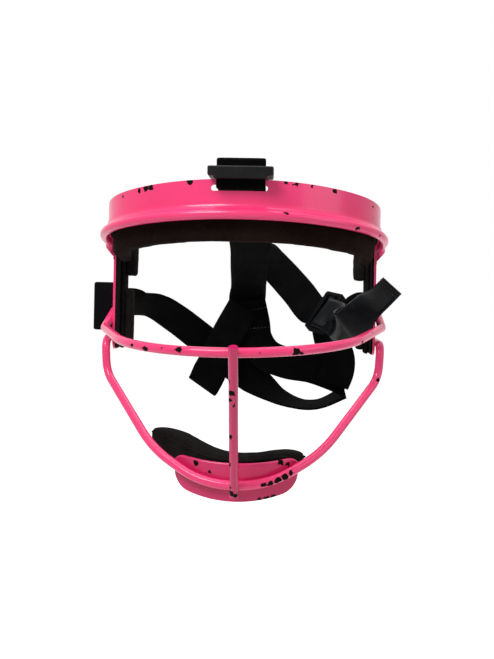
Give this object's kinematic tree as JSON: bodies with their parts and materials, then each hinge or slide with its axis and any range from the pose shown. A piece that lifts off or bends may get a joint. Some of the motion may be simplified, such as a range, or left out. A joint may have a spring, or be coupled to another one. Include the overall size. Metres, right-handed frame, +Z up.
{
  "type": "softball face guard",
  "caption": "Pink steel fielder's face guard: padded forehead band, side plates, nose bar, chin loop with a padded chin plate, and a black webbing harness with sliders.",
  "frame": {"origin": "centre of the wearer's head at eye level", "axes": "+Z up, -Y out of the face, +X to the picture's right"},
  "size_m": [0.2123, 0.2342, 0.2008],
  "materials": {
    "pink_paint": "gloss, chipped",
    "foam": "soft, matt",
    "hook_tape": "matt",
    "webbing": "woven",
    "slider_plastic": "fine grain"
  },
  "bodies": {
    "guard": {"guard_shell": "pink_paint", "nose_bar": "pink_paint", "chin_loop": "pink_paint", "centre_rod": "pink_paint", "chin_plate": "pink_paint", "forehead_hook_tape": "hook_tape", "forehead_pad": "foam", "left_hook_tape": "hook_tape", "right_hook_tape": "hook_tape", "left_side_pad": "foam", "right_side_pad": "foam", "left_cheek_pad": "foam", "right_cheek_pad": "foam", "left_temple_pad": "foam", "right_temple_pad": "foam", "chin_hook_tape": "hook_tape", "chin_pad": "foam", "top_strap": "webbing", "left_side_strap": "webbing", "right_side_strap": "webbing", "yoke_strap": "webbing", "right_strap_tail": "webbing"},
    "top_slider_body": {"top_slider": "slider_plastic"},
    "left_slider_body": {"left_slider": "slider_plastic", "left_strap_end": "webbing"},
    "right_slider_body": {"right_slider": "slider_plastic"}
  },
  "joints": [
    {"name": "top_slider_rock", "type": "hinge", "parent": "guard", "child": "top_slider_body", "pos_m": [0.0008, -0.0797, 0.059], "axis": [-1, 0, 0], "range_deg": [0, 6]},
    {"name": "left_slider_swing", "type": "hinge", "parent": "guard", "child": "left_slider_body", "pos_m": [-0.0919, 0.0285, -0.023], "axis": [0, 0, -1], "range_deg": [0, 28]},
    {"name": "right_slider_slide", "type": "slide", "parent": "guard", "child": "right_slider_body", "axis": [-0.7001, 0.7001, 0.14], "range_m": [-0.0015, 0.004]}
  ]
}
